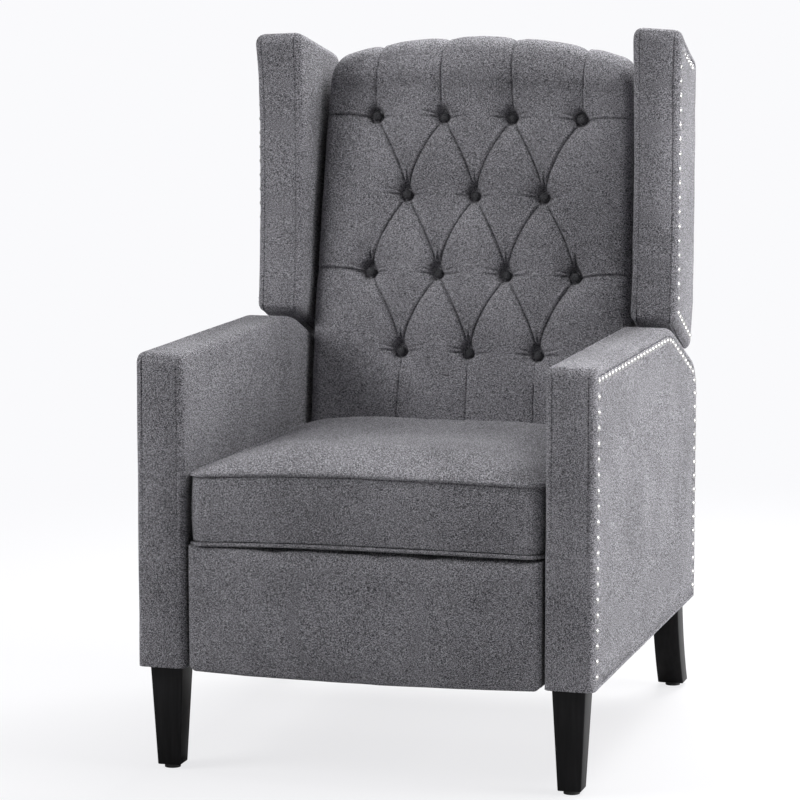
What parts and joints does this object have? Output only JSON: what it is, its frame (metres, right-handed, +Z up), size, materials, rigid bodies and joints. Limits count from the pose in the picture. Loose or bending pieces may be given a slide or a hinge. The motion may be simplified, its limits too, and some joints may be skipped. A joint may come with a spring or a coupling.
{
  "type": "wingback recliner",
  "caption": "Wingback push-back recliner with tufted back, box seat cushion, fold-out footrest panel, nail-head trim and black wooden legs.",
  "frame": {"origin": "on the floor, at the middle of the footprint between the footrest panel's bow and the rear feet", "axes": "+Z up, the chair's front faces -Y, +X to the right as seen from the front"},
  "size_m": [0.6956, 0.837, 1.0777],
  "materials": {
    "upholstery": "heathered linen weave",
    "button_fabric": "matt",
    "nickel": "polished",
    "black_wood": "satin black stain",
    "frame_wood": "raw",
    "steel": "zinc plated",
    "nylon": "matt",
    "webbing": "woven elastic",
    "felt": "needled felt"
  },
  "bodies": {
    "base": {"arm_front_posts": "frame_wood", "arm_rear_posts": "frame_wood", "arm_top_rails": "frame_wood", "arm_bottom_rails": "frame_wood", "arm_nails": "nickel", "leg_glides": "nylon", "leg_bolts": "steel", "middle_stretcher": "frame_wood", "rear_stretcher": "frame_wood", "rear_lower_panel": "upholstery", "track_screws": "steel", "right_arm_cover": "upholstery", "left_arm_cover": "upholstery", "right_front_leg": "black_wood", "left_front_leg": "black_wood", "right_rear_leg": "black_wood", "left_rear_leg": "black_wood", "right_seat_track": "steel", "left_seat_track": "steel"},
    "seat": {"seat_front_rail": "frame_wood", "seat_middle_rail": "frame_wood", "seat_rear_rail": "frame_wood", "seat_runners": "steel", "seat_webbing": "webbing", "seat_deck": "felt", "seat_cushion": "upholstery", "hinge_plates": "steel", "hinge_pins": "steel", "seat_link_bolts": "steel", "right_seat_side_rail": "frame_wood", "left_seat_side_rail": "frame_wood"},
    "back": {"hinge_bushes": "nylon", "back_top_rail": "frame_wood", "back_bottom_rail": "frame_wood", "back_webbing": "webbing", "back_outer_panel": "upholstery", "back_cushion": "upholstery", "back_buttons": "button_fabric", "wing_boards": "frame_wood", "wing_cleats": "frame_wood", "wing_nails": "nickel", "right_back_post": "frame_wood", "left_back_post": "frame_wood", "right_wing_cover": "upholstery", "left_wing_cover": "upholstery"},
    "rear_links": {"footrest_rear_links": "steel", "rear_link_tube": "steel", "rear_link_rivets": "steel"},
    "front_links": {"footrest_front_links": "steel", "front_link_tube": "steel", "front_link_rivets": "steel"},
    "footrest": {"footrest_board": "frame_wood", "footrest_pad": "upholstery", "footrest_brackets": "steel", "bracket_rivets": "steel"},
    "right_control": {"right_control_link": "steel"},
    "left_control": {"left_control_link": "steel"},
    "right_tilt": {"right_tilt_link": "steel"},
    "left_tilt": {"left_tilt_link": "steel"}
  },
  "joints": [
    {"name": "seat_glide", "type": "slide", "parent": "base", "child": "seat", "axis": [0, -1, 0], "range_m": [0, 0.06]},
    {"name": "back_recline", "type": "hinge", "parent": "seat", "child": "back", "pos_m": [0, 0.2565, 0.3], "axis": [-1, 0, 0], "range_deg": [0, 32]},
    {"name": "footrest_rear_swing", "type": "hinge", "parent": "seat", "child": "rear_links", "pos_m": [0, -0.2805, 0.304], "axis": [-1, 0, 0], "range_deg": [0, 136.4]},
    {"name": "footrest_knee", "type": "hinge", "parent": "rear_links", "child": "front_links", "pos_m": [0, -0.0885, 0.194], "axis": [-1, 0, 0], "range_deg": [-136.4, 0]},
    {"name": "footrest_tilt", "type": "hinge", "parent": "front_links", "child": "footrest", "pos_m": [0, -0.3435, 0.251], "axis": [-1, 0, 0], "range_deg": [0, 83.2]},
    {"name": "right_control_swing", "type": "hinge", "parent": "seat", "child": "right_control", "pos_m": [0, -0.3245, 0.3138], "axis": [-1, 0, 0], "range_deg": [0, 136.4]},
    {"name": "right_tilt_swing", "type": "hinge", "parent": "rear_links", "child": "right_tilt", "pos_m": [0, -0.0745, 0.2142], "axis": [-1, 0, 0], "range_deg": [-144.8, 0]},
    {"name": "left_control_swing", "type": "hinge", "parent": "seat", "child": "left_control", "pos_m": [0, -0.3245, 0.3138], "axis": [-1, 0, 0], "range_deg": [0, 136.4]},
    {"name": "left_tilt_swing", "type": "hinge", "parent": "rear_links", "child": "left_tilt", "pos_m": [0, -0.0745, 0.2142], "axis": [-1, 0, 0], "range_deg": [-144.8, 0]}
  ],
  "couplings": [
    {"joint": "seat_glide", "follows": "back_recline", "m_per_rad": 0.10723},
    {"joint": "footrest_rear_swing", "follows": "back_recline", "ratio": 4.2596},
    {"joint": "footrest_knee", "follows": "back_recline", "ratio": -4.2596},
    {"joint": "footrest_tilt", "follows": "back_recline", "ratio": 2.5962},
    {"joint": "right_control_swing", "follows": "back_recline", "ratio": 4.2596},
    {"joint": "right_tilt_swing", "follows": "back_recline", "ratio": -4.5192},
    {"joint": "left_control_swing", "follows": "back_recline", "ratio": 4.2596},
    {"joint": "left_tilt_swing", "follows": "back_recline", "ratio": -4.5192}
  ]
}
